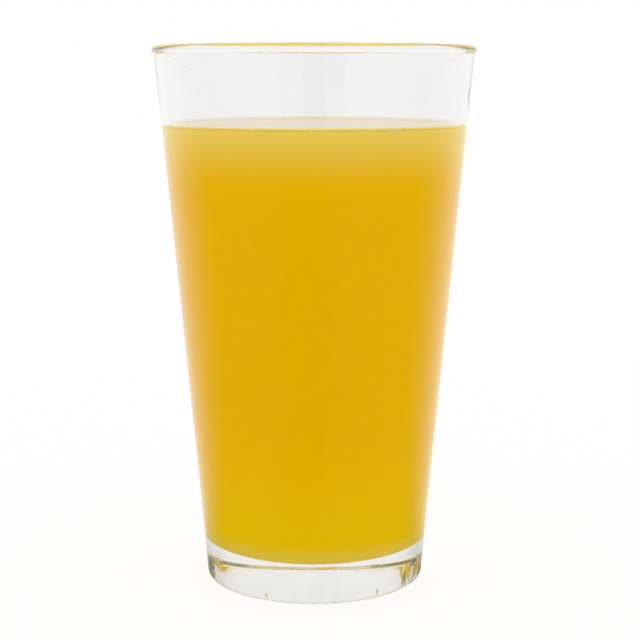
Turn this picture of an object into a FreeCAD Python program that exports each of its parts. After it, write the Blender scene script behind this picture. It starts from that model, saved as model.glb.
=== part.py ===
"""A glass of pineapple juice: a tapered tumbler of pressed glass, filled to a little below its rim.

Both solids are turned about +Z, in millimetres, and stand on the plane z = 0 with the axis at the origin.

    glass   the tumbler: beaded rim, straight tapered wall, small heel round, flat foot ring, hollow
    juice   the drink: from the rounded floor of the cavity up to its level, curled up along the wall
"""
import FreeCAD, Part
import math
import os

# Overall sizes of the tumbler.
GLASS_HEIGHT = 149.2
RIM_DIAMETER = 88.9
FOOT_DIAMETER = 61.0            # where the line of the straight wall would meet the table

# Rim: a fire-polished lip with a low bead outside it.
BEAD_HEIGHT = 2.3
BEAD_PROUD = 0.45

# Wall, measured level: it thickens evenly from the rim to the floor.
RIM_WALL = 2.3
BASE_WALL = 4.4

# Heel and foot: a small round from the wall to the flat ring, and a very shallow hollow inside the ring.
HEEL_RADIUS = 1.3
FOOT_RING_WIDTH = 4.0
PUNT_DEPTH = 0.3

# Floor of the cavity: a nearly flat bowl with a rounded corner up to the wall.
FLOOR_HEIGHT = 8.6
FLOOR_BOWL_RADIUS = 160.0
FLOOR_CORNER_RADIUS = 9.0

# Drink: how far its level lies below the rim, and how it climbs the wall.
HEADSPACE = 21.4
MENISCUS_RISE = 0.4
MENISCUS_REACH = 1.3

AXIS = FreeCAD.Vector(0, 0, 1)


def vector(point):
    """The place of a (radius, height) pair in the half plane y = 0."""
    return FreeCAD.Vector(point[0], 0, point[1])


class WallLine:
    """A straight wall of the half section: its radius grows evenly with height."""

    def __init__(self, low, high):
        self.slope = (high[0] - low[0]) / (high[1] - low[1])
        self.foot = low[0] - self.slope * low[1]
        self.stretch = math.hypot(1, self.slope)

    def at(self, height):
        """The wall's point at a height."""
        return (self.foot + self.slope * height, height)

    def round_against(self, centre, large_radius, small_radius):
        """The round between this wall and a larger circle that it lies inside.

        Gives the centre of the small circle, its touching point on the large one, and that on the wall.
        """
        inset = self.foot - small_radius * self.stretch - centre[0]
        gap = large_radius - small_radius
        a = self.stretch**2
        b = 2 * (inset * self.slope - centre[1])
        c = inset**2 + centre[1] ** 2 - gap**2
        height = (-b - math.sqrt(b * b - 4 * a * c)) / (2 * a)
        radius = centre[0] + inset + self.slope * height
        scale = large_radius / gap
        on_circle = (centre[0] + (radius - centre[0]) * scale, centre[1] + (height - centre[1]) * scale)
        on_wall = (radius + small_radius / self.stretch, height - small_radius * self.slope / self.stretch)
        return (radius, height), on_circle, on_wall


class Outline:
    """A closed half section, drawn from point to point and turned about the axis."""

    def __init__(self, start):
        self.start = start
        self.end = start
        self.edges = []

    def line_to(self, point):
        """Draws a straight edge to a point."""
        self.edges.append(Part.LineSegment(vector(self.end), vector(point)).toShape())
        self.end = point

    def arc_about(self, centre, point):
        """Draws the shorter arc about a centre to a point."""
        radius = math.dist(self.end, centre)
        start = math.atan2(self.end[1] - centre[1], self.end[0] - centre[0])
        stop = math.atan2(point[1] - centre[1], point[0] - centre[0])
        halfway = start + math.remainder(stop - start, math.tau) / 2
        middle = (centre[0] + radius * math.cos(halfway), centre[1] + radius * math.sin(halfway))
        self.edges.append(Part.Arc(vector(self.end), vector(middle), vector(point)).toShape())
        self.end = point

    def turned(self):
        """Closes the outline and gives the solid that it makes about the axis."""
        self.line_to(self.start)
        face = Part.Face(Part.Wire(self.edges))
        return face.revolve(FreeCAD.Vector(0, 0, 0), AXIS, 360)


# Straight walls of the section, and what follows from them.
rim_radius = RIM_DIAMETER / 2
outer_wall = WallLine((FOOT_DIAMETER / 2, 0), (rim_radius - BEAD_PROUD, GLASS_HEIGHT))
inner_wall = WallLine(
    (outer_wall.at(FLOOR_HEIGHT)[0] - BASE_WALL, FLOOR_HEIGHT),
    (outer_wall.at(GLASS_HEIGHT)[0] - RIM_WALL, GLASS_HEIGHT),
)
fill_height = GLASS_HEIGHT - HEADSPACE


def draw_foot(outline):
    """Hollow of the foot, flat ring and heel round, up to the straight wall."""
    wall = outer_wall
    heel_centre = (wall.foot + wall.slope * HEEL_RADIUS - HEEL_RADIUS * wall.stretch, HEEL_RADIUS)
    heel_end = (heel_centre[0] + HEEL_RADIUS / wall.stretch, HEEL_RADIUS * (1 - wall.slope / wall.stretch))
    ring_inside = heel_centre[0] - FOOT_RING_WIDTH
    hollow_radius = (ring_inside**2 + PUNT_DEPTH**2) / (2 * PUNT_DEPTH)
    outline.arc_about((0, PUNT_DEPTH - hollow_radius), (ring_inside, 0))
    outline.line_to((heel_centre[0], 0))
    outline.arc_about(heel_centre, heel_end)


def draw_rim(outline):
    """Bead outside the wall, then the lip, half round from the bead to the inner wall."""
    bead_start = outer_wall.at(GLASS_HEIGHT - BEAD_HEIGHT)
    lip_radius = (rim_radius - inner_wall.at(GLASS_HEIGHT)[0]) / (2 - inner_wall.slope)
    lip_height = GLASS_HEIGHT - lip_radius
    lip_centre = (rim_radius - lip_radius, lip_height)
    swell = rim_radius - bead_start[0]
    drop = lip_height - bead_start[1]
    bead_radius = (swell**2 + drop**2) / (2 * swell)
    outline.line_to(bead_start)
    outline.arc_about((rim_radius - bead_radius, lip_height), (rim_radius, lip_height))
    outline.arc_about(lip_centre, (lip_centre[0], GLASS_HEIGHT))
    outline.arc_about(lip_centre, inner_wall.at(lip_height))


def floor_rounds():
    """Centre of the bowl, centre of the corner, and where the corner leaves the bowl and meets the wall."""
    bowl_centre = (0, FLOOR_HEIGHT + FLOOR_BOWL_RADIUS)
    rounds = inner_wall.round_against(bowl_centre, FLOOR_BOWL_RADIUS, FLOOR_CORNER_RADIUS)
    return (bowl_centre,) + rounds


def make_glass():
    """The tumbler, drawn from the middle of its foot, up the outside, over the rim and down the inside."""
    outline = Outline((0, PUNT_DEPTH))
    draw_foot(outline)
    draw_rim(outline)
    bowl_centre, corner_centre, bowl_end, corner_end = floor_rounds()
    outline.line_to(corner_end)
    outline.arc_about(corner_centre, bowl_end)
    outline.arc_about(bowl_centre, (0, FLOOR_HEIGHT))
    return outline.turned()


def make_juice():
    """The drink, drawn from the lowest point of the cavity up the wall and back along its surface."""
    bowl_centre, corner_centre, bowl_end, corner_end = floor_rounds()
    shore = inner_wall.at(fill_height + MENISCUS_RISE)
    curl_radius = (MENISCUS_REACH**2 + MENISCUS_RISE**2) / (2 * MENISCUS_RISE)
    curl_start = (shore[0] - MENISCUS_REACH, fill_height)
    outline = Outline((0, FLOOR_HEIGHT))
    outline.arc_about(bowl_centre, bowl_end)
    outline.arc_about(corner_centre, corner_end)
    outline.line_to(shore)
    outline.arc_about((curl_start[0], fill_height + curl_radius), curl_start)
    outline.line_to((0, fill_height))
    return outline.turned()


os.makedirs("parts", exist_ok=True)
for name, shape in {"glass": make_glass(), "juice": make_juice()}.items():
    shape.exportStep("parts/" + name + ".step")
    box = shape.optimalBoundingBox()
    print(name, shape.ShapeType, "valid", shape.isValid(), "volume cm3", round(shape.Volume / 1000, 1),
          "height", round(box.ZMin, 3), round(box.ZMax, 3), "across", round(box.XLength, 3))
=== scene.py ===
"""Looks of the glass of pineapple juice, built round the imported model: metres, +Z up, standing on z = 0.

The tumbler and the drink are turned from half sections by one Geometry Nodes tree, and a second tree sets
the bubbles along the waterline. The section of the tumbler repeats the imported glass; the drink reaches a
hair's breadth into the wall, so that no air shows between them.
"""
import logging
import math
from collections.abc import Mapping, Sequence
from dataclasses import dataclass, field
from enum import Enum
from typing import Union

import bmesh
import bpy
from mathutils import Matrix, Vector


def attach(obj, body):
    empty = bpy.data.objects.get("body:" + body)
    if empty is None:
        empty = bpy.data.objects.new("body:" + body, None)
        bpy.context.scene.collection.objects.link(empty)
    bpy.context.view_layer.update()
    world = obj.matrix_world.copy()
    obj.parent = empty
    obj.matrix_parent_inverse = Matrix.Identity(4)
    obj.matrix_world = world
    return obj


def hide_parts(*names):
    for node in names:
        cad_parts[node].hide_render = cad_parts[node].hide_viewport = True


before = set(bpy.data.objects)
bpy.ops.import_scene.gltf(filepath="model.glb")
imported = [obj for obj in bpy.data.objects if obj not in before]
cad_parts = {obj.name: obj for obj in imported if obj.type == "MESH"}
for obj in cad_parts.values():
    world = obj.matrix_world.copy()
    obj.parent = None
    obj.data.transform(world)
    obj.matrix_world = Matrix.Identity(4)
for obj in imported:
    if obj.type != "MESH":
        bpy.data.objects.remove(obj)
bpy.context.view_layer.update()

LOG = logging.getLogger("glass_of_juice")
MILLIMETRE = 0.001
WHITE = (1.0, 1.0, 1.0)

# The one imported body, on which every piece rides.
BODY = "root"

# A vector times this is laid level.
LEVEL_PLANE = (1.0, 1.0, 0.0)

# Keeps the rows of random numbers of one seed apart from those of the next.
SEED_STEP = 17.0

Point = tuple[float, float]
Colour = tuple[float, float, float]


class Part(Enum):
    """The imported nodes, which are also the names of the record's material slots."""

    GLASS = "glass"
    JUICE = "juice"


def mm(value: float) -> float:
    """Millimetres as metres."""
    return value * MILLIMETRE


def from_display(red: int, green: int, blue: int) -> Colour:
    """The scene-linear colour of a display colour.

    Args:
        red, green, blue: display values from 0 to 255.

    Returns:
        The three scene-linear values.
    """
    def linear(value: float) -> float:
        """One display value from 0 to 1 as a scene-linear one."""
        return value / 12.92 if value <= 0.04045 else ((value + 0.055) / 1.055) ** 2.4

    return linear(red / 255), linear(green / 255), linear(blue / 255)


# ----------------------------------------------------------------------------------------------------------
# Node trees
# ----------------------------------------------------------------------------------------------------------


class Signal:
    """A number carried by a node's socket, on which Python's own arithmetic adds Math nodes."""

    def __init__(self, bench: "Bench", socket: bpy.types.NodeSocket) -> None:
        """Wraps a socket of the tree on a bench."""
        self.bench = bench
        self.socket = socket

    def math(self, operation: str, *operands: "Operand") -> "Signal":
        """Adds a Math node.

        Args:
            operation: the Math node's operation.
            operands: its inputs in order, this signal among them where it belongs.

        Returns:
            The node's result.
        """
        node = self.bench.node("ShaderNodeMath", {"operation": operation}, dict(enumerate(operands)))
        return Signal(self.bench, node.outputs[0])

    def __add__(self, other: "Operand") -> "Signal":
        """This and another."""
        return self.math("ADD", self, other)

    def __radd__(self, other: "Operand") -> "Signal":
        """Another and this."""
        return self.math("ADD", other, self)

    def __sub__(self, other: "Operand") -> "Signal":
        """This less another."""
        return self.math("SUBTRACT", self, other)

    def __rsub__(self, other: "Operand") -> "Signal":
        """Another less this."""
        return self.math("SUBTRACT", other, self)

    def __mul__(self, other: "Operand") -> "Signal":
        """This times another."""
        return self.math("MULTIPLY", self, other)

    def __rmul__(self, other: "Operand") -> "Signal":
        """Another times this."""
        return self.math("MULTIPLY", other, self)

    def __truediv__(self, other: "Operand") -> "Signal":
        """This over another."""
        return self.math("DIVIDE", self, other)

    def __mod__(self, other: "Operand") -> "Signal":
        """What is left of this after whole numbers of another."""
        return self.math("MODULO", self, other)

    def __gt__(self, other: "Operand") -> "Signal":
        """1 where this is the greater, else 0."""
        return self.math("GREATER_THAN", self, other)

    def __lt__(self, other: "Operand") -> "Signal":
        """1 where this is the smaller, else 0."""
        return self.math("LESS_THAN", self, other)

    def floor(self) -> "Signal":
        """The whole number at or below this."""
        return self.math("FLOOR", self)

    def cosine(self) -> "Signal":
        """The cosine of this, in radians."""
        return self.math("COSINE", self)

    def sine(self) -> "Signal":
        """The sine of this, in radians."""
        return self.math("SINE", self)

    def size(self) -> "Signal":
        """This without its sign."""
        return self.math("ABSOLUTE", self)

    def at_most(self, other: "Operand") -> "Signal":
        """The smaller of the two."""
        return self.math("MINIMUM", self, other)

    def rise(self, low: float, high: float) -> "Signal":
        """A smooth step.

        Args:
            low: where it leaves 0.
            high: where it reaches 1; it may be the smaller of the two, and the step then falls.

        Returns:
            A number from 0 to 1.
        """
        node = self.bench.node(
            "ShaderNodeMapRange",
            {"interpolation_type": "SMOOTHSTEP"},
            {"Value": self, "From Min": low, "From Max": high, "To Min": 0.0, "To Max": 1.0},
        )
        return Signal(self.bench, node.outputs["Result"])


Operand = Union[Signal, float]
Link = Union[Signal, bpy.types.NodeSocket, float, int, bool, str, Sequence[float], bpy.types.ID]


class Bench:
    """One node tree under construction, for a material, the world or a modifier."""

    def __init__(self, tree: bpy.types.NodeTree) -> None:
        """Takes a tree and clears it."""
        self.tree = tree
        self.tree.nodes.clear()

    def node(
        self,
        kind: str,
        settings: Mapping[str, object] | None = None,
        inputs: Mapping[Union[str, int], Link] | None = None,
    ) -> bpy.types.Node:
        """Adds a node.

        Args:
            kind: the node's type.
            settings: its own properties, set before anything is linked.
            inputs: a value or a link for each socket, by the socket's name or its number.

        Returns:
            The node.
        """
        node = self.tree.nodes.new(kind)
        for name, value in (settings or {}).items():
            setattr(node, name, value)
        for key, value in (inputs or {}).items():
            self._feed(node.inputs[key], value)
        return node

    def _feed(self, socket: bpy.types.NodeSocket, value: Link) -> None:
        """Links a socket, or sets the value that it keeps; a colour of three values is opaque.

        Args:
            socket: the socket to feed.
            value: a link, or the value to keep.
        """
        if isinstance(value, Signal):
            value = value.socket
        if isinstance(value, bpy.types.NodeSocket):
            self.tree.links.new(value, socket)
        elif socket.type == "RGBA":
            socket.default_value = (*value, 1.0)
        else:
            socket.default_value = value

    def signal(self, node: bpy.types.Node, output: Union[str, int] = 0) -> Signal:
        """One output of a node as a signal."""
        return Signal(self, node.outputs[output])

    def vector(self, operation: str, *operands: Link) -> bpy.types.Node:
        """Adds a Vector Math node."""
        return self.node("ShaderNodeVectorMath", {"operation": operation}, dict(enumerate(operands)))

    def split(self, vector: Link) -> tuple[Signal, Signal, Signal]:
        """The three parts of a vector."""
        node = self.node("ShaderNodeSeparateXYZ", inputs={0: vector})
        return self.signal(node, 0), self.signal(node, 1), self.signal(node, 2)

    def join(self, x: Operand, y: Operand, z: Operand) -> bpy.types.NodeSocket:
        """A vector from its three parts."""
        return self.node("ShaderNodeCombineXYZ", inputs={0: x, 1: y, 2: z}).outputs[0]

    def blend(self, factor: Operand, low: Link, high: Link) -> bpy.types.NodeSocket:
        """A colour between two others.

        Args:
            factor: 0 gives the low colour and 1 the high one.
            low, high: colours, or links.

        Returns:
            The socket of the blended colour.
        """
        node = self.node("ShaderNodeMix", {"data_type": "RGBA"}, {"Factor": factor, "A": low, "B": high})
        return node.outputs["Result"]

    def noise(self, place: Link, size: float, detail: float, roughness: float = 0.5) -> Signal:
        """Soft noise over a place.

        Args:
            place: the place, in metres.
            size: how wide its waves are, in metres.
            detail: how many finer layers it has.
            roughness: how strong the finer layers are.

        Returns:
            A number round 0.5.
        """
        node = self.node(
            "ShaderNodeTexNoise",
            inputs={"Vector": place, "Scale": 1 / size, "Detail": detail, "Roughness": roughness},
        )
        return self.signal(node)


def new_material(name: str) -> tuple[bpy.types.Material, Bench]:
    """An empty node material and the bench to build it on.

    Args:
        name: the material's name.

    Returns:
        The material and its bench.
    """
    material = bpy.data.materials.new(name)
    material.use_nodes = True
    return material, Bench(material.node_tree)


def object_place(bench: Bench) -> bpy.types.NodeSocket:
    """The place of the shaded point on its own object, in metres."""
    return bench.node("ShaderNodeTexCoord").outputs["Object"]


# ----------------------------------------------------------------------------------------------------------
# Finishes
# ----------------------------------------------------------------------------------------------------------


@dataclass(frozen=True)
class PressedGlass:
    """Clear soda-lime glass, faintly green where it is thick, with the soft ripple that pressing leaves.

    The absorption is per metre of glass.
    """

    refraction: float = 1.54
    absorbed: Colour = (1.5, 1.3, 1.5)
    ripple_width: float = mm(14.0)
    ripple_depth: float = mm(0.04)
    ripple_detail: float = 2.0

    def material(self) -> bpy.types.Material:
        """The finished material.

        Returns:
            The material.
        """
        material, bench = new_material("pressed_glass")
        ripple = bench.noise(object_place(bench), self.ripple_width, self.ripple_detail)
        rippled = bench.node("ShaderNodeBump", inputs={"Height": ripple, "Distance": self.ripple_depth})
        surface = bench.node(
            "ShaderNodeBsdfPrincipled",
            inputs={
                "Base Color": WHITE,
                "Roughness": 0.0,
                "IOR": self.refraction,
                "Transmission Weight": 1.0,
                "Normal": rippled.outputs[0],
            },
        )
        density = max(self.absorbed) * 2
        kept = tuple(1 - part / density for part in self.absorbed)
        body = bench.node("ShaderNodeVolumeAbsorption", inputs={"Color": kept, "Density": density})
        bench.node(
            "ShaderNodeOutputMaterial",
            inputs={"Surface": surface.outputs[0], "Volume": body.outputs[0]},
        )
        return material


@dataclass(frozen=True)
class CloudyJuice:
    """Cloudy golden juice behind glass: paler towards its level, where light falls in from above."""

    level: float
    body: Colour = from_display(245, 211, 0)
    # Painted light: paler low down, offsetting the shade near the bottom of the cavity.
    painted_low_light: Colour = from_display(249, 223, 0)
    # Painted light: paler at the bottom, offsetting the shade in the round corner there.
    painted_sole_light: Colour = from_display(252, 235, 112)
    # Painted light: the top of the juice is paler for the light that falls in from above.
    painted_top_light: Colour = from_display(246, 225, 114)
    # Painted light: pale where the juice thins at the shore, as if light came through it.
    painted_through_light: Colour = from_display(252, 239, 203)
    painted_through_light_depth: float = mm(0.7)
    # Painted shade: a darker line just under the shore, below the meniscus.
    edge: Colour = from_display(231, 205, 89)
    painted_shore_shade_depth: float = mm(0.75)
    painted_shore_shade_width: float = mm(0.3)
    painted_top_light_depth: float = mm(16.0)
    painted_low_light_height: float = mm(50.0)
    painted_sole_light_from: float = mm(9.5)
    painted_sole_light_to: float = mm(16.5)
    scatter: Colour = (0.0030, 0.0018, 0.0004)
    scatter_share: float = 0.35
    roughness: float = 0.5
    cloud_size: float = mm(9.0)
    cloud_detail: float = 4.0
    cloud_roughness: float = 0.55
    cloud_edges: tuple[float, float] = (0.35, 0.65)
    cloud_contrast: float = 0.015

    def colour(self, bench: Bench) -> bpy.types.NodeSocket:
        """Body colour with painted light: paler at the top, low down, at the bottom and where it thins at
        the shore; faint clouds of fruit; a painted shade line at the shore.

        Args:
            bench: the tree to build in.

        Returns:
            The socket of the colour.
        """
        place = object_place(bench)
        _, _, height = bench.split(place)
        below = self.level - height
        # Painted light: paler towards the bottom, offsetting the shade there.
        deep = bench.blend(height.rise(0.0, self.painted_low_light_height), self.painted_low_light, self.body)
        # Painted light: paler at the bottom, offsetting the shade in the round corner.
        deep = bench.blend(height.rise(self.painted_sole_light_from, self.painted_sole_light_to), self.painted_sole_light, deep)
        # Painted light: paler towards the level, for the light that falls in from above.
        lit = bench.blend((1.0 - below / self.painted_top_light_depth).rise(0.0, 1.0), deep, self.painted_top_light)
        clouds = bench.noise(place, self.cloud_size, self.cloud_detail, self.cloud_roughness)
        clouded = bench.blend(clouds.rise(*self.cloud_edges) * self.cloud_contrast, lit, self.painted_top_light)
        # Painted shade: a narrow darker line just under the shore, below the meniscus.
        edge = below.rise(self.painted_shore_shade_depth - self.painted_shore_shade_width, self.painted_shore_shade_depth)
        edge = edge * below.rise(self.painted_shore_shade_depth + self.painted_shore_shade_width, self.painted_shore_shade_depth)
        lined = bench.blend(edge, clouded, self.edge)
        # Painted light: pale just under the shore, as if light came through the thinning juice.
        return bench.blend(below.rise(self.painted_through_light_depth, 0.0), lined, self.painted_through_light)

    def material(self) -> bpy.types.Material:
        """The finished material.

        Returns:
            The material.
        """
        material, bench = new_material("cloudy_juice")
        surface = bench.node(
            "ShaderNodeBsdfPrincipled",
            inputs={
                "Base Color": self.colour(bench),
                "Roughness": self.roughness,
                "Specular IOR Level": 0.0,
                "Subsurface Weight": self.scatter_share,
                "Subsurface Radius": self.scatter,
                "Subsurface Scale": 1.0,
            },
        )
        bench.node("ShaderNodeOutputMaterial", inputs={"Surface": surface.outputs[0]})
        return material


@dataclass(frozen=True)
class WetLevel:
    """The open face of the juice: smooth and wet, with faint froth, and painted light where it thins up the
    wall.
    """

    shore_radius: float
    still: Colour = from_display(224, 191, 50)
    froth: Colour = from_display(240, 217, 108)
    froth_size: float = mm(7.0)
    froth_detail: float = 5.0
    froth_edges: tuple[float, float] = (0.45, 0.85)
    froth_roughness: float = 0.02
    # Painted light: the face is pale where it climbs the wall, as if light came through the curl.
    painted_through_light: Colour = from_display(228, 219, 184)
    painted_through_light_from: float = mm(2.0)
    painted_through_light_to: float = mm(0.8)
    refraction: float = 1.34

    def material(self) -> bpy.types.Material:
        """The finished material.

        Returns:
            The material.
        """
        material, bench = new_material("wet_level")
        place = object_place(bench)
        cover = bench.noise(place, self.froth_size, self.froth_detail).rise(*self.froth_edges)
        colour = bench.blend(cover, self.still, self.froth)
        across = bench.vector("MULTIPLY", place, LEVEL_PLANE)
        radius = bench.signal(bench.vector("LENGTH", across.outputs[0]), "Value")
        # Painted light: paler where the face climbs and thins up the wall.
        climb = (self.shore_radius - radius).rise(self.painted_through_light_from, self.painted_through_light_to)
        surface = bench.node(
            "ShaderNodeBsdfPrincipled",
            inputs={
                "Base Color": bench.blend(climb, colour, self.painted_through_light),
                "Roughness": cover * self.froth_roughness,
                "IOR": self.refraction,
            },
        )
        bench.node("ShaderNodeOutputMaterial", inputs={"Surface": surface.outputs[0]})
        return material


@dataclass(frozen=True)
class Froth:
    """The pale, wet froth of a small bubble of juice."""

    tint: Colour = from_display(253, 247, 222)
    mottle_size: float = mm(0.8)
    mottle_detail: float = 2.0
    mottle_contrast: float = 0.3
    roughness: float = 0.3

    def material(self) -> bpy.types.Material:
        """The finished material, a little mottled from bubble to bubble.

        Returns:
            The material.
        """
        material, bench = new_material("bubble_froth")
        mottle = bench.noise(object_place(bench), self.mottle_size, self.mottle_detail)
        surface = bench.node(
            "ShaderNodeBsdfPrincipled",
            inputs={
                "Base Color": self.tint,
                "Roughness": mottle * self.mottle_contrast + self.roughness,
                "Specular IOR Level": 0.0,
            },
        )
        bench.node("ShaderNodeOutputMaterial", inputs={"Surface": surface.outputs[0]})
        return material


# ----------------------------------------------------------------------------------------------------------
# Half sections and turning
# ----------------------------------------------------------------------------------------------------------


class WallLine:
    """A straight wall of the half section: its radius grows evenly with height."""

    def __init__(self, low: Point, high: Point) -> None:
        """Draws the wall through two points of radius and height.

        Args:
            low, high: the two points.
        """
        self.slope = (high[0] - low[0]) / (high[1] - low[1])
        self.foot = low[0] - self.slope * low[1]
        self.stretch = math.hypot(1, self.slope)

    def at(self, height: float) -> Point:
        """The wall's point at a height."""
        return (self.foot + self.slope * height, height)

    def moved_out(self, distance: float) -> "WallLine":
        """The parallel wall that lies this far outside."""
        shift = distance * self.stretch
        return WallLine((self.foot + shift, 0.0), (self.at(1.0)[0] + shift, 1.0))

    def round_against(self, centre: Point, large: float, small: float) -> tuple[Point, Point, Point]:
        """The round between this wall and a larger circle that it lies inside.

        Args:
            centre: centre of the larger circle.
            large: its radius.
            small: radius of the round.

        Returns:
            The centre of the round, its touching point on the larger circle, and that on the wall.
        """
        inset = self.foot - small * self.stretch - centre[0]
        gap = large - small
        a = self.stretch**2
        b = 2 * (inset * self.slope - centre[1])
        c = inset**2 + centre[1] ** 2 - gap**2
        height = (-b - math.sqrt(b * b - 4 * a * c)) / (2 * a)
        radius = centre[0] + inset + self.slope * height
        scale = large / gap
        on_circle = (centre[0] + (radius - centre[0]) * scale, centre[1] + (height - centre[1]) * scale)
        on_wall = (radius + small / self.stretch, height - small * self.slope / self.stretch)
        return (radius, height), on_circle, on_wall


@dataclass
class HalfSection:
    """An outline of radius and height, drawn from point to point.

    Long straight runs get a close row at each end, so that the shading of a round doesn't spread into them.
    """

    start: Point
    run: float = mm(6.0)
    turn: float = math.radians(5.0)
    guard: float = mm(0.12)
    points: list[Point] = field(default_factory=list)
    uneven: list[float] = field(default_factory=list)

    def __post_init__(self) -> None:
        """Puts down the first point."""
        self._add(self.start, 0.0)

    def _add(self, point: Point, uneven: float) -> None:
        """Adds one point, with how uneven the wall is there, from 0 to 1."""
        self.points.append(point)
        self.uneven.append(uneven)

    @property
    def end(self) -> Point:
        """The last point so far."""
        return self.points[-1]

    def line_to(self, point: Point) -> None:
        """Draws a straight run to a point.

        Args:
            point: the run's other end.
        """
        start = self.end
        length = math.dist(start, point)
        stations = [length]
        if length > 4 * self.guard:
            inner = length - 2 * self.guard
            steps = max(1, math.ceil(inner / self.run))
            stations = [self.guard + inner * i / steps for i in range(steps + 1)] + [length]
        for station in stations:
            share = station / length
            place = (start[0] + (point[0] - start[0]) * share, start[1] + (point[1] - start[1]) * share)
            self._add(place, 0.0)

    def arc_about(self, centre: Point, point: Point, uneven: float = 0.0) -> None:
        """Draws the shorter arc about a centre to a point.

        Args:
            centre: the arc's centre.
            point: its other end.
            uneven: how uneven the wall is along it, from 0 to 1.
        """
        radius = math.dist(self.end, centre)
        start = math.atan2(self.end[1] - centre[1], self.end[0] - centre[0])
        stop = math.atan2(point[1] - centre[1], point[0] - centre[0])
        sweep = math.remainder(stop - start, math.tau)
        steps = max(2, math.ceil(abs(sweep) / self.turn), math.ceil(abs(sweep) * radius / self.run))
        for i in range(1, steps):
            angle = start + sweep * i / steps
            self._add((centre[0] + radius * math.cos(angle), centre[1] + radius * math.sin(angle)), uneven)
        self._add(point, uneven)

    def mesh(self, name: str) -> bpy.types.Mesh:
        """The outline as a mesh of loose points, with the attribute "uneven" on them.

        Args:
            name: the mesh's name.

        Returns:
            The mesh, in the half plane y = 0.
        """
        mesh = bpy.data.meshes.new(name)
        mesh.from_pydata([(radius, 0.0, height) for radius, height in self.points], [], [])
        mesh.attributes.new("uneven", "FLOAT", "POINT").data.foreach_set("value", self.uneven)
        return mesh


class Tree:
    """A Geometry Nodes tree with named inputs, and the modifier that runs it once."""

    def __init__(self, name: str) -> None:
        """Starts an empty tree that takes a geometry and gives one back.

        Args:
            name: the tree's name.
        """
        self.group = bpy.data.node_groups.new(name, "GeometryNodeTree")
        self.bench = Bench(self.group)
        self.group.interface.new_socket("Geometry", in_out="OUTPUT", socket_type="NodeSocketGeometry")
        self.group.interface.new_socket("Geometry", in_out="INPUT", socket_type="NodeSocketGeometry")
        self.identifiers: dict[str, str] = {}

    def inputs(self, **kinds: str) -> dict[str, bpy.types.NodeSocket]:
        """Adds the named inputs.

        Args:
            kinds: the socket type of each input, such as "Float" or "Material".

        Returns:
            The socket of each input inside the tree, with "geometry" for the geometry that comes in.
        """
        for name, kind in kinds.items():
            socket = self.group.interface.new_socket(name, in_out="INPUT", socket_type="NodeSocket" + kind)
            self.identifiers[name] = socket.identifier
        source = self.bench.node("NodeGroupInput")
        sockets = {name: source.outputs[name] for name in kinds}
        sockets["geometry"] = source.outputs["Geometry"]
        return sockets

    def close(self, geometry: bpy.types.NodeSocket) -> None:
        """Ends the tree with a geometry."""
        self.bench.node("NodeGroupOutput", inputs={0: geometry})

    def run(self, name: str, start: bpy.types.Mesh, **values: object) -> bpy.types.Object:
        """Runs the tree on a mesh and keeps the result as a plain mesh.

        Args:
            name: name of the finished piece.
            start: the mesh that goes in.
            values: the values of the named inputs.

        Returns:
            The finished piece, at the origin.
        """
        carrier = bpy.data.objects.new(name + "_carrier", start)
        bpy.context.collection.objects.link(carrier)
        modifier = carrier.modifiers.new(self.group.name, "NODES")
        modifier.node_group = self.group
        for key, value in values.items():
            modifier[self.identifiers[key]] = value
        evaluated = carrier.evaluated_get(bpy.context.evaluated_depsgraph_get())
        mesh = bpy.data.meshes.new_from_object(evaluated)
        carrier.modifiers.remove(modifier)
        bpy.data.objects.remove(carrier)
        mesh.name = name
        piece = bpy.data.objects.new(name, mesh)
        bpy.context.collection.objects.link(piece)
        close_mesh(mesh)
        return piece


def close_mesh(mesh: bpy.types.Mesh, join_within: float = 1e-6) -> None:
    """Merges doubled points and turns every face outwards.

    Args:
        mesh: the mesh, which is changed in place.
        join_within: how near two points are one, in metres.
    """
    work = bmesh.new()
    work.from_mesh(mesh)
    bmesh.ops.remove_doubles(work, verts=work.verts, dist=join_within)
    bmesh.ops.dissolve_degenerate(work, edges=work.edges, dist=join_within / 10)
    bmesh.ops.recalc_face_normals(work, faces=work.faces)
    loose = sum(1 for edge in work.edges if not edge.is_manifold)
    volume = work.calc_volume(signed=True)
    work.to_mesh(mesh)
    work.free()
    mesh.update()
    LOG.info("%s: %d faces, %d open edges, %.2f cm3", mesh.name, len(mesh.polygons), loose, volume * 1e6)


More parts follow.
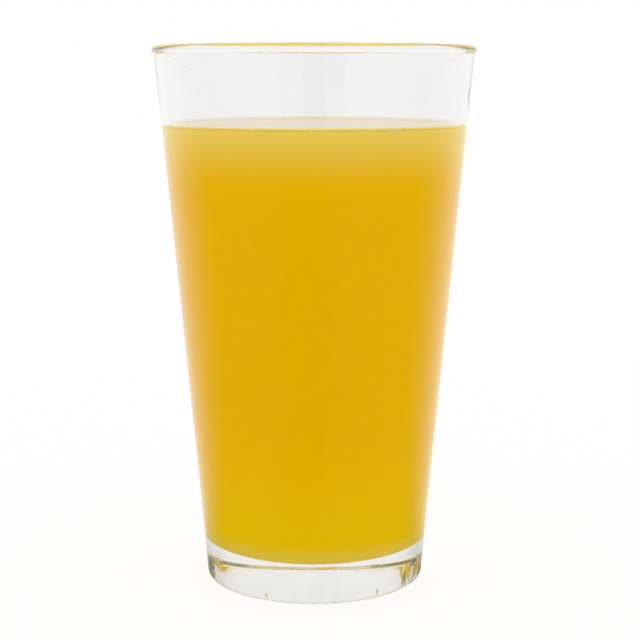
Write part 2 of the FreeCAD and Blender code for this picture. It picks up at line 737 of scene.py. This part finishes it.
class Lathe:
    """Turns a half section about the axis: a sheet of rows and steps, each row taken to its own circle.

    Where a row is uneven it strays inwards from its circle, and upwards by a share of that.
    """

    WAVES_UP = 200.0
    WAVE_DETAIL = 2.0
    NOISE_MIDDLE = 0.5
    NOISE_GAIN = 4.0
    LIFT = 0.7
    JOIN_WITHIN = 1e-7

    def __init__(self, steps: int = 256) -> None:
        """Builds the tree for a number of steps round the axis.

        Args:
            steps: how many columns a turned piece has.
        """
        self.steps = steps
        self.tree = Tree("turned_section")
        self._build()

    def _build(self) -> None:
        """Lays the tree from its named inputs to Realize Instances and Set Material."""
        bench = self.tree.bench
        put = self.tree.inputs(
            Rows="Int", Steps="Int", Unevenness="Float", Waves="Float", Seed="Float",
            TopRow="Float", BodyMaterial="Material", TopMaterial="Material",
        )
        steps = Signal(bench, put["Steps"])
        columns = steps + 1.0
        sheet = bench.node(
            "GeometryNodeMeshGrid",
            inputs={"Size X": 1.0, "Size Y": 1.0, "Vertices X": put["Rows"], "Vertices Y": columns},
        )
        index = bench.signal(bench.node("GeometryNodeInputIndex"))
        row = ((index + 0.5) / columns).floor()
        angle = (index - row * columns) % steps * math.tau / steps
        place = self._on_section(put["geometry"], row, "FLOAT_VECTOR",
                                 bench.node("GeometryNodeInputPosition").outputs[0])
        looseness = bench.node("GeometryNodeInputNamedAttribute", {"data_type": "FLOAT"}, {"Name": "uneven"})
        loose = Signal(bench, self._on_section(put["geometry"], row, "FLOAT", looseness.outputs[0]))
        radius, _, height = bench.split(place)
        waves = Signal(bench, put["Waves"])
        around = bench.join(angle.cosine() * waves, angle.sine() * waves, height * self.WAVES_UP)
        noise = bench.node(
            "ShaderNodeTexNoise",
            {"noise_dimensions": "4D"},
            {"Vector": around, "W": put["Seed"], "Scale": 1.0, "Detail": self.WAVE_DETAIL},
        )
        swing = (bench.signal(noise) - self.NOISE_MIDDLE).size()
        swing = swing * loose * Signal(bench, put["Unevenness"]) * self.NOISE_GAIN
        reach = radius - swing
        lifted = height + swing * self.LIFT
        turned = bench.node(
            "GeometryNodeSetPosition",
            inputs={
                "Geometry": sheet.outputs["Mesh"],
                "Position": bench.join(angle.cosine() * reach, angle.sine() * reach, lifted),
            },
        )
        kept = bench.node("GeometryNodeCaptureAttribute", {"domain": "POINT"})
        kept.capture_items.new("FLOAT", "row")
        bench.tree.links.new(turned.outputs[0], kept.inputs["Geometry"])
        bench.tree.links.new(row.socket, kept.inputs["row"])
        is_top = Signal(bench, kept.outputs["row"]) > Signal(bench, put["TopRow"])
        joined = bench.node(
            "GeometryNodeMergeByDistance",
            inputs={"Geometry": kept.outputs["Geometry"], "Distance": self.JOIN_WITHIN},
        )
        smooth = bench.node("GeometryNodeSetShadeSmooth", inputs={"Geometry": joined.outputs[0]})
        real = bench.node("GeometryNodeRealizeInstances", inputs={"Geometry": smooth.outputs[0]})
        body = bench.node(
            "GeometryNodeSetMaterial", inputs={"Geometry": real.outputs[0], "Material": put["BodyMaterial"]}
        )
        top = bench.node(
            "GeometryNodeSetMaterial",
            inputs={"Geometry": body.outputs[0], "Selection": is_top, "Material": put["TopMaterial"]},
        )
        self.tree.close(top.outputs[0])

    def _on_section(self, section: bpy.types.NodeSocket, row: Signal, kind: str,
                    value: bpy.types.NodeSocket) -> bpy.types.NodeSocket:
        """What a field holds at one row of the half section.

        Args:
            section: the geometry of the half section.
            row: the row, as a point number.
            kind: the field's data type.
            value: the field.

        Returns:
            The socket of the field's value there.
        """
        node = self.tree.bench.node("GeometryNodeSampleIndex", {"data_type": kind, "domain": "POINT"})
        self.tree.bench.tree.links.new(section, node.inputs["Geometry"])
        self.tree.bench.tree.links.new(value, node.inputs["Value"])
        self.tree.bench.tree.links.new(row.socket, node.inputs["Index"])
        return node.outputs[0]

    def turn(self, name: str, section: HalfSection, body: bpy.types.Material,
             top: bpy.types.Material | None = None, top_row: int | None = None,
             unevenness: float = 0.0, waves: float = 30.0, seed: int = 1) -> bpy.types.Object:
        """Turns a half section into a closed piece.

        Args:
            name: name of the piece.
            section: its half section, from axis to axis.
            body: its material.
            top: another material for the rows from top_row on.
            top_row: the first row whose faces have the top material.
            unevenness: how far an uneven row may stray from its circle, in metres.
            waves: how many strays there are round the axis, roughly.
            seed: seed of the strays.

        Returns:
            The turned piece.
        """
        rows = len(section.points)
        return self.tree.run(
            name, section.mesh(name + "_section"),
            Rows=rows, Steps=self.steps, Unevenness=unevenness, Waves=waves, Seed=float(seed),
            TopRow=(rows if top_row is None else top_row) - 0.5, BodyMaterial=body, TopMaterial=top or body,
        )


# ----------------------------------------------------------------------------------------------------------
# Tumbler
# ----------------------------------------------------------------------------------------------------------


@dataclass
class Tumbler:
    """The tapered tumbler of pressed glass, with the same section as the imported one."""

    height: float = mm(149.2)
    rim_diameter: float = mm(88.9)
    foot_diameter: float = mm(61.0)
    bead_height: float = mm(2.3)
    bead_proud: float = mm(0.45)
    rim_wall: float = mm(2.3)
    base_wall: float = mm(4.4)
    heel_radius: float = mm(1.3)
    foot_ring_width: float = mm(4.0)
    punt_depth: float = mm(0.3)
    floor_height: float = mm(8.6)
    floor_bowl_radius: float = mm(160.0)
    floor_corner_radius: float = mm(9.0)
    unevenness: float = mm(0.12)
    seed: int = 12
    finish: PressedGlass = PressedGlass()

    def __post_init__(self) -> None:
        """Works out the two straight walls and the centre of the bowl."""
        self.rim_radius = self.rim_diameter / 2
        self.outer_wall = WallLine(
            (self.foot_diameter / 2, 0.0), (self.rim_radius - self.bead_proud, self.height)
        )
        self.inner_wall = WallLine(
            (self.outer_wall.at(self.floor_height)[0] - self.base_wall, self.floor_height),
            (self.outer_wall.at(self.height)[0] - self.rim_wall, self.height),
        )
        self.bowl_centre = (0.0, self.floor_height + self.floor_bowl_radius)

    def _draw_foot(self, section: HalfSection) -> None:
        """Hollow of the foot, flat ring and heel round, up to the straight wall.

        Args:
            section: the outline so far, which ends in the middle of the foot.
        """
        wall = self.outer_wall
        heel_centre = (
            wall.foot + wall.slope * self.heel_radius - self.heel_radius * wall.stretch, self.heel_radius
        )
        heel_end = (
            heel_centre[0] + self.heel_radius / wall.stretch,
            self.heel_radius * (1 - wall.slope / wall.stretch),
        )
        ring_inside = heel_centre[0] - self.foot_ring_width
        hollow_radius = (ring_inside**2 + self.punt_depth**2) / (2 * self.punt_depth)
        section.arc_about((0.0, self.punt_depth - hollow_radius), (ring_inside, 0.0))
        section.line_to((heel_centre[0], 0.0))
        section.arc_about(heel_centre, heel_end, uneven=1.0)

    def _draw_rim(self, section: HalfSection) -> None:
        """Bead outside the wall, then the lip, half round from the bead to the inner wall.

        Args:
            section: the outline so far, which ends on the outer wall.
        """
        bead_start = self.outer_wall.at(self.height - self.bead_height)
        lip_radius = (self.rim_radius - self.inner_wall.at(self.height)[0]) / (2 - self.inner_wall.slope)
        lip_height = self.height - lip_radius
        lip_centre = (self.rim_radius - lip_radius, lip_height)
        swell = self.rim_radius - bead_start[0]
        drop = lip_height - bead_start[1]
        bead_radius = (swell**2 + drop**2) / (2 * swell)
        section.line_to(bead_start)
        section.arc_about((self.rim_radius - bead_radius, lip_height), (self.rim_radius, lip_height))
        section.arc_about(lip_centre, (lip_centre[0], self.height))
        section.arc_about(lip_centre, self.inner_wall.at(lip_height))

    def section(self) -> HalfSection:
        """The whole half section, from the middle of the foot round to the middle of the cavity's floor.

        Returns:
            The closed outline, from axis to axis.
        """
        section = HalfSection((0.0, self.punt_depth))
        self._draw_foot(section)
        self._draw_rim(section)
        corner_centre, bowl_end, corner_end = self.inner_wall.round_against(
            self.bowl_centre, self.floor_bowl_radius, self.floor_corner_radius
        )
        section.line_to(corner_end)
        section.arc_about(corner_centre, bowl_end)
        section.arc_about(self.bowl_centre, (0.0, self.floor_height))
        return section

    def build(self, lathe: Lathe) -> bpy.types.Object:
        """The dressed tumbler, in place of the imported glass.

        Args:
            lathe: what turns the section.

        Returns:
            The piece.
        """
        piece = lathe.turn(
            "tumbler", self.section(), self.finish.material(), unevenness=self.unevenness, seed=self.seed
        )
        return place_piece(piece, Part.GLASS)


# ----------------------------------------------------------------------------------------------------------
# Drink
# ----------------------------------------------------------------------------------------------------------


@dataclass
class Drink:
    """The juice in the tumbler, up to a level below the rim, curled up where it meets the wall."""

    tumbler: Tumbler
    headspace: float = mm(21.4)
    meniscus_rise: float = mm(0.4)
    meniscus_reach: float = mm(1.3)
    reach_in: float = mm(0.12)

    def __post_init__(self) -> None:
        """Works out the level and the shore."""
        self.level = self.tumbler.height - self.headspace
        self.shore = self.tumbler.inner_wall.at(self.level + self.meniscus_rise)

    def section(self) -> tuple[HalfSection, int]:
        """The half section, which reaches into the wall all round.

        Returns:
            The section, and the row at which the open face begins.
        """
        tumbler = self.tumbler
        wall = tumbler.inner_wall.moved_out(self.reach_in)
        bowl_radius = tumbler.floor_bowl_radius + self.reach_in
        corner_radius = tumbler.floor_corner_radius + self.reach_in
        corner_centre, bowl_end, corner_end = wall.round_against(
            tumbler.bowl_centre, bowl_radius, corner_radius
        )
        section = HalfSection((0.0, tumbler.bowl_centre[1] - bowl_radius), turn=math.radians(3.0))
        section.arc_about(tumbler.bowl_centre, bowl_end)
        section.arc_about(corner_centre, corner_end)
        section.line_to(wall.at(self.shore[1]))
        top_row = len(section.points)
        section.line_to(self.shore)
        curl_radius = (self.meniscus_reach**2 + self.meniscus_rise**2) / (2 * self.meniscus_rise)
        curl_start = (self.shore[0] - self.meniscus_reach, self.level)
        section.arc_about((curl_start[0], self.level + curl_radius), curl_start)
        section.line_to((0.0, self.level))
        return section, top_row

    def build(self, lathe: Lathe) -> bpy.types.Object:
        """The dressed drink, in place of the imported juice.

        Args:
            lathe: what turns the section.

        Returns:
            The piece.
        """
        section, top_row = self.section()
        shore_radius, shore_height = self.shore
        side = CloudyJuice(level=shore_height).material()
        face = WetLevel(shore_radius=shore_radius).material()
        piece = lathe.turn("juice_fill", section, side, face, top_row)
        return place_piece(piece, Part.JUICE)


@dataclass(frozen=True)
class ShoreBubbles:
    """Small bubbles against the wall, just under the waterline: one cluster, the rest far apart."""

    drink: Drink
    count: int = 44
    clustered: int = 9
    cluster_angle: float = math.radians(-59.0)
    cluster_width: float = math.radians(4.5)
    smallest: float = mm(0.10)
    largest: float = mm(0.24)
    highest: float = mm(0.3)
    deepest: float = mm(1.7)
    ball_level: int = 3
    seed: int = 11

    def _tree(self) -> Tree:
        """A tree that sets bubbles against the wall, as many as its inputs say.

        Returns:
            The tree, ready to run.
        """
        tree = Tree("shore_bubbles")
        bench = tree.bench
        put = tree.inputs(
            Count="Int", Clustered="Float", ClusterAngle="Float", ClusterWidth="Float",
            ShoreRadius="Float", ShoreHeight="Float", WallSlope="Float", Highest="Float", Deepest="Float",
            Smallest="Float", Largest="Float", Seed="Int", Froth="Material",
        )
        points = bench.node("GeometryNodePoints", inputs={"Count": put["Count"]})
        index = bench.signal(bench.node("GeometryNodeInputIndex"))
        in_cluster = index < Signal(bench, put["Clustered"])
        apart = self._random(bench, 0.0, math.tau, put["Seed"], 1)
        beside = self._random(bench, -0.5, 0.5, put["Seed"], 4) * Signal(bench, put["ClusterWidth"])
        together = Signal(bench, put["ClusterAngle"]) + beside
        angle = in_cluster * together + (1.0 - in_cluster) * apart
        below = self._random(bench, put["Highest"], put["Deepest"], put["Seed"], 2)
        radius = Signal(bench, put["ShoreRadius"]) - below * Signal(bench, put["WallSlope"])
        height = Signal(bench, put["ShoreHeight"]) - below
        placed = bench.node(
            "GeometryNodeSetPosition",
            inputs={
                "Geometry": points.outputs[0],
                "Position": bench.join(angle.cosine() * radius, angle.sine() * radius, height),
            },
        )
        ball = bench.node(
            "GeometryNodeMeshIcoSphere", inputs={"Radius": 1.0, "Subdivisions": self.ball_level}
        )
        size = self._random(bench, put["Smallest"], put["Largest"], put["Seed"], 3)
        scattered = bench.node(
            "GeometryNodeInstanceOnPoints",
            inputs={"Points": placed.outputs[0], "Instance": ball.outputs["Mesh"],
                    "Scale": bench.join(size, size, size)},
        )
        smooth = bench.node("GeometryNodeSetShadeSmooth", inputs={"Geometry": scattered.outputs[0]})
        real = bench.node("GeometryNodeRealizeInstances", inputs={"Geometry": smooth.outputs[0]})
        dressed = bench.node(
            "GeometryNodeSetMaterial", inputs={"Geometry": real.outputs[0], "Material": put["Froth"]}
        )
        tree.close(dressed.outputs[0])
        return tree

    @staticmethod
    def _random(bench: Bench, low: Link, high: Link, seed: Link, salt: int) -> Signal:
        """A random number for each bubble, between two values; each salt gives its own row of numbers.

        Args:
            bench: the tree to build in.
            low, high: the two values.
            seed: the seed of all the rows.
            salt: the number of the row.

        Returns:
            The number.
        """
        mixed = Signal(bench, seed) * SEED_STEP + float(salt)
        node = bench.node(
            "FunctionNodeRandomValue", {"data_type": "FLOAT"}, {2: low, 3: high, "Seed": mixed}
        )
        return bench.signal(node, 1)

    def build(self) -> bpy.types.Object:
        """The dressed bubbles.

        Returns:
            The piece.
        """
        froth = Froth().material()
        shore_radius, shore_height = self.drink.shore
        piece = self._tree().run(
            "shore_bubbles", bpy.data.meshes.new("shore_bubbles_start"),
            Count=self.count, Clustered=float(self.clustered), ClusterAngle=self.cluster_angle,
            ClusterWidth=self.cluster_width, ShoreRadius=shore_radius + self.drink.reach_in,
            ShoreHeight=shore_height, WallSlope=self.drink.tumbler.inner_wall.slope,
            Highest=self.highest, Deepest=self.deepest,
            Smallest=self.smallest, Largest=self.largest, Seed=self.seed, Froth=froth,
        )
        return place_piece(piece, Part.JUICE)


def place_piece(piece: bpy.types.Object, part: Part) -> bpy.types.Object:
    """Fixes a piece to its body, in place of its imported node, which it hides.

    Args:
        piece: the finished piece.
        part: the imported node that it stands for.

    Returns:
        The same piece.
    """
    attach(piece, BODY)
    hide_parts(part.value)
    LOG.info("built %s in place of %s", piece.name, part.value)
    return piece


# ----------------------------------------------------------------------------------------------------------
# Studio
# ----------------------------------------------------------------------------------------------------------


@dataclass(frozen=True)
class Surroundings:
    """What mirrored rays see round the object: a bright sweep behind and above it, and a dim room in front.

    A dark thing stands in the room, a little left of the middle. What is seen from within the glass has a
    brighter room and a slightly dimmer sweep.
    """

    sweep: float = 1.0
    room: float = 0.03
    room_within: float = 0.45
    fades_from: float = 0.85
    fades_to: float = -0.15
    dark_left: float = math.tan(math.radians(24.0))
    dark_right: float = math.tan(math.radians(8.0))
    dark_edge: float = 0.03
    overhead_from: float = 0.10
    overhead_to: float = 0.50
    side_loss: float = 0.15
    inner_loss: float = 0.08
    loss_from: float = 0.97
    loss_to: float = 0.5

    @staticmethod
    def _bearing(bench: Bench, direction: Link) -> tuple[Signal, Signal]:
        """How far a direction goes to the right and to the back, when it is laid level.

        Args:
            bench: the tree to build in.
            direction: a vector from the object outwards.

        Returns:
            The two parts of its level unit vector.
        """
        flat = bench.vector("MULTIPLY", direction, LEVEL_PLANE)
        right, behind, _ = bench.split(bench.vector("NORMALIZE", flat.outputs[0]).outputs[0])
        return right, behind

    def radiance(self, bench: Bench, direction: Link, within: Signal) -> Signal:
        """How bright the surroundings are to a mirrored ray.

        Args:
            bench: the tree to build in.
            direction: a vector from the object outwards.
            within: 1 for a ray that has been inside the glass, else 0.

        Returns:
            Their radiance there, where 1 is white.
        """
        right, behind = self._bearing(bench, direction)
        _, _, upwards = bench.split(bench.vector("NORMALIZE", direction).outputs[0])
        overhead = upwards.rise(self.overhead_from, self.overhead_to)
        slant = right / (0.0 - behind)
        inside = slant.rise(-self.dark_left - self.dark_edge, -self.dark_left)
        inside = inside * slant.rise(self.dark_right + self.dark_edge, self.dark_right)
        sweep = behind.rise(self.fades_to, self.fades_from) * self.sweep
        room = (1.0 - inside) * (within * self.room_within + self.room)
        level = (sweep + (1.0 - sweep) * room) * (1.0 - within * self.inner_loss)
        return level + (1.0 - level) * overhead

    def through_glass(self, bench: Bench, direction: Link) -> Signal:
        """How bright they are to a ray that was bent on its way: white behind, a little less to the sides.

        Args:
            bench: the tree to build in.
            direction: a vector from the object outwards.

        Returns:
            Their radiance there, where 1 is white.
        """
        _, behind = self._bearing(bench, direction)
        return 1.0 - behind.rise(self.loss_from, self.loss_to) * self.side_loss


@dataclass
class Studio:
    """Plain soft light from all round, a pale floor and the camera."""

    surroundings: Surroundings = Surroundings()
    level: float = 1.18
    lean: float = 0.16
    floor_colour: float = 0.85
    floor_glow: float = 0.85
    floor_radius: float = 3.0
    floor_sides: int = 96
    floor_below: float = mm(0.1)
    camera_distance: float = 0.430
    camera_height: float = 0.142
    camera_right: float = mm(1.55)
    camera_pitch: float = math.radians(9.12)
    camera_lens: float = 86.9
    camera_reach: tuple[float, float] = (0.1, 20.0)
    bounces: int = 32
    diffuse_bounces: int = 8
    glossy_bounces: int = 16
    glass_bounces: int = 24

    @staticmethod
    def _ray_facts(bench: Bench) -> tuple[Signal, Signal]:
        """Whether a ray comes straight from the eye through clear things, and whether it was mirrored.

        Args:
            bench: the tree to build in.

        Returns:
            Two signals of 0 or 1.
        """
        path = bench.node("ShaderNodeLightPath")
        looks = bench.signal(path, "Is Camera Ray") + bench.signal(path, "Is Glossy Ray")
        looks = looks + bench.signal(path, "Is Transmission Ray")
        looks = looks.at_most(1.0) * (bench.signal(path, "Diffuse Depth") < 0.5)
        mirrored = looks * (bench.signal(path, "Glossy Depth") > 0.5)
        return looks, mirrored

    def _seen(self, bench: Bench, direction: Link, mirrored: Signal) -> Signal:
        """What a look ray sees: white straight from the eye, the surroundings once it was bent or mirrored.

        Args:
            bench: the tree to build in.
            direction: a vector from the object outwards.
            mirrored: 1 for a ray that was mirrored on its way.

        Returns:
            The radiance, where 1 is white.
        """
        path = bench.node("ShaderNodeLightPath")
        straight = bench.signal(path, "Is Camera Ray")
        within = bench.signal(path, "Transmission Depth") > 0.5
        bent = self.surroundings.through_glass(bench, direction)
        clear = straight + (1.0 - straight) * bent
        around = self.surroundings.radiance(bench, direction, within)
        return clear * (1.0 - mirrored) + around * mirrored

    def light(self) -> None:
        """White to the eye, the surroundings in glass and reflections, and an even level on matt things."""
        world = bpy.data.worlds.new("studio_light")
        bpy.context.scene.world = world
        world.use_nodes = True
        bench = Bench(world.node_tree)
        looks, mirrored = self._ray_facts(bench)
        direction = bench.node("ShaderNodeTexCoord").outputs["Generated"]
        seen = self._seen(bench, direction, mirrored)
        _, behind, _ = bench.split(direction)
        strength = looks * seen + (1.0 - looks) * (behind * self.lean + 1.0) * self.level
        background = bench.node("ShaderNodeBackground", inputs={"Color": WHITE, "Strength": strength})
        bench.node("ShaderNodeOutputWorld", inputs={"Surface": background.outputs[0]})

    def floor(self) -> None:
        """A wide pale disc just below the foot."""
        work = bmesh.new()
        bmesh.ops.create_circle(work, cap_ends=True, segments=self.floor_sides, radius=self.floor_radius)
        bmesh.ops.translate(work, verts=work.verts, vec=Vector((0.0, 0.0, -self.floor_below)))
        mesh = bpy.data.meshes.new("studio_floor")
        work.to_mesh(mesh)
        work.free()
        floor = bpy.data.objects.new("studio_floor", mesh)
        bpy.context.collection.objects.link(floor)
        mesh.materials.append(self._floor_material())

    def _floor_material(self) -> bpy.types.Material:
        """Pale matt paper, lit from below to the eye, which mirrored rays see as the surroundings.

        Returns:
            The material.
        """
        material, bench = new_material("studio_paper")
        looks, mirrored = self._ray_facts(bench)
        paper = bench.node("ShaderNodeBsdfDiffuse", inputs={"Color": (self.floor_colour,) * 3})
        seen = self._seen(bench, object_place(bench), mirrored)
        shine = bench.node("ShaderNodeEmission", inputs={"Strength": seen})
        share = (looks - mirrored) * self.floor_glow + mirrored
        mixed = bench.node(
            "ShaderNodeMixShader", inputs={0: share, 1: paper.outputs[0], 2: shine.outputs[0]}
        )
        bench.node("ShaderNodeOutputMaterial", inputs={"Surface": mixed.outputs[0]})
        return material

    def camera(self) -> None:
        """A long lens a little below the level of the rim, looking slightly down."""
        data = bpy.data.cameras.new("camera")
        data.lens = self.camera_lens
        data.clip_start, data.clip_end = self.camera_reach
        camera = bpy.data.objects.new("camera", data)
        bpy.context.collection.objects.link(camera)
        camera.location = (self.camera_right, -self.camera_distance, self.camera_height)
        camera.rotation_euler = (math.pi / 2 - self.camera_pitch, 0.0, 0.0)
        bpy.context.scene.camera = camera

    def build(self) -> None:
        """Sets up the light, the floor, the camera and the plain view settings."""
        self.light()
        self.floor()
        self.camera()
        scene = bpy.context.scene
        scene.view_settings.view_transform = "Standard"
        scene.cycles.max_bounces = self.bounces
        scene.cycles.diffuse_bounces = self.diffuse_bounces
        scene.cycles.glossy_bounces = self.glossy_bounces
        scene.cycles.transmission_bounces = self.glass_bounces
        scene.cycles.blur_glossy = 0.0


def main() -> None:
    """Builds the studio and the pieces in order."""
    logging.basicConfig(level=logging.INFO, format="%(message)s")
    Studio().build()
    lathe = Lathe()
    tumbler = Tumbler()
    tumbler.build(lathe)
    drink = Drink(tumbler)
    drink.build(lathe)
    ShoreBubbles(drink).build()


if __name__ == "__main__":
    main()
